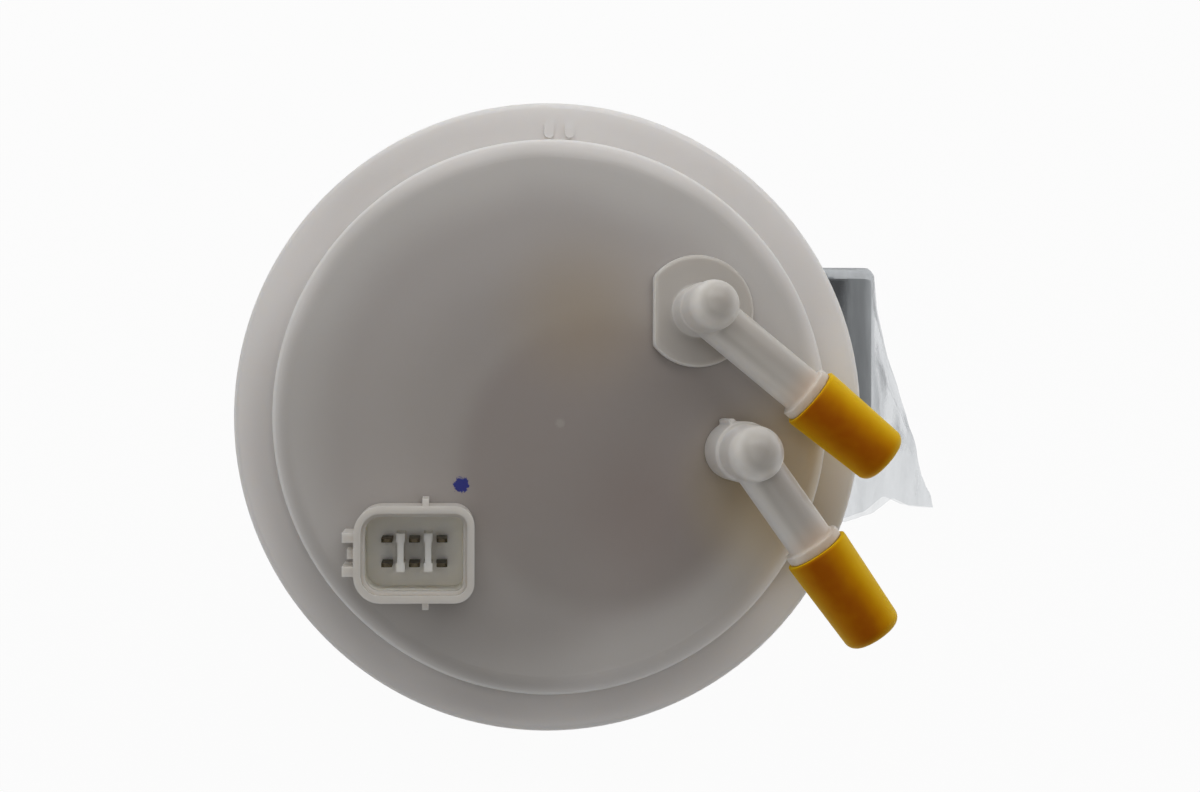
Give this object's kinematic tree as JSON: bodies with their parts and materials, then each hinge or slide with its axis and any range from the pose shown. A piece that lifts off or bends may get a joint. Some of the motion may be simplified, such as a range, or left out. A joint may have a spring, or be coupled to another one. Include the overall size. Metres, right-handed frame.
{
  "type": "fuel pump module",
  "caption": "In-tank fuel pump module: round natural-white flange with capped elbow ports and connector, spring-loaded reservoir with electric pump, and a level float in a clear bag.",
  "frame": {"origin": "centre of the flange's sealing face, the underside of its rim, on the axis of the spigot that enters the tank", "axes": "+Z out of the tank toward the ports and -Z down into it; +Y toward the two alignment marks on the rim; +X toward the side where the float hangs"},
  "size_m": [0.2044, 0.134, 0.2411],
  "materials": {
    "pom_natural": "moulded acetal, natural white, slightly translucent",
    "pom_pot": "moulded acetal, natural white",
    "tinned_brass": "stamped, tin plated",
    "zinc_steel": "zinc plated steel",
    "spring_steel": "drawn spring wire",
    "stainless_clamp": "rolled stainless band",
    "stainless_wire": "drawn stainless wire",
    "nylon_black": "extruded and corrugated nylon",
    "nylon_natural": "extruded nylon, natural",
    "pbt_black": "moulded, black",
    "wire_insulation": "extruded fuel-proof insulation",
    "rubber_black": "moulded nitrile rubber",
    "pump_aluminium": "die cast",
    "ferrite": "sintered ferrite",
    "carbon": "pressed carbon",
    "steel_laminations": "stacked laminations",
    "phenolic_brown": "moulded phenolic",
    "copper_alloy": "stamped contact strip",
    "ceramic_card": "fired ceramic with printed track",
    "nylon_mesh": "woven filter mesh",
    "nitrile_foam": "moulded closed-cell foam",
    "polythene_film": "clear film, heat sealed",
    "vinyl_yellow": "dip-moulded vinyl"
  },
  "bodies": {
    "flange": {"flange_lid": "pom_natural", "connector_terminals": "tinned_brass", "supply_elbow": "pom_natural", "return_elbow": "pom_natural", "guide_rods": "zinc_steel", "rod_clips": "spring_steel", "spring_a": "spring_steel", "spring_b": "spring_steel", "supply_hose": "nylon_black", "hose_clamp_top": "stainless_clamp", "return_tube": "nylon_natural", "inner_plug": "pbt_black", "pump_wires": "wire_insulation", "sender_wires": "wire_insulation"},
    "reservoir": {"reservoir_cup": "pom_pot", "reservoir_cover": "pom_pot", "umbrella_valve": "rubber_black", "jet_pump": "pbt_black", "jet_nozzle": "pom_pot", "pump_can": "zinc_steel", "pump_inlet_cover": "pump_aluminium", "pump_body_plate": "pump_aluminium", "pump_outlet_cover": "pbt_black", "pump_magnets": "ferrite", "pump_brushes": "carbon", "pump_mount_bottom": "rubber_black", "pump_mount_top": "rubber_black", "strainer_collar": "pom_pot", "strainer_sock": "nylon_mesh", "hose_clamp_bottom": "stainless_clamp", "pump_plug": "pbt_black", "sender_housing": "pom_natural", "sender_card": "ceramic_card", "sender_terminals": "tinned_brass"},
    "pump_rotor": {"armature": "steel_laminations", "impeller": "phenolic_brown"},
    "float_arm": {"arm_hub": "pbt_black", "wiper": "copper_alloy", "arm_wire": "stainless_wire", "float": "nitrile_foam", "float_clip": "spring_steel", "float_bag": "polythene_film"},
    "supply_shipping_cap": {"supply_cap": "vinyl_yellow"},
    "return_shipping_cap": {"return_cap": "vinyl_yellow"}
  },
  "joints": [
    {"name": "reservoir_slide", "type": "slide", "parent": "flange", "child": "reservoir", "axis": [0, 0, 1], "range_m": [0, 0.025], "stiffness_N_per_m": 500, "springref_m": -0.02, "deforming": ["spring_a", "spring_b", "supply_hose", "return_tube", "pump_wires", "sender_wires"]},
    {"name": "float_swing", "type": "hinge", "parent": "reservoir", "child": "float_arm", "pos_m": [0.004, -0.05, -0.128], "axis": [0, -1, 0], "range_deg": [0, 70]},
    {"name": "rotor_spin", "type": "hinge", "parent": "reservoir", "child": "pump_rotor", "pos_m": [-0.014, -0.004, -0.15], "axis": [0, 0, 1], "continuous": true},
    {"name": "supply_cap_pull", "type": "slide", "parent": "flange", "child": "supply_shipping_cap", "axis": [0.7727, -0.6347, 0], "range_m": [0, 0.021]},
    {"name": "return_cap_pull", "type": "slide", "parent": "flange", "child": "return_shipping_cap", "axis": [0.5793, -0.8151, 0], "range_m": [0, 0.021]}
  ]
}
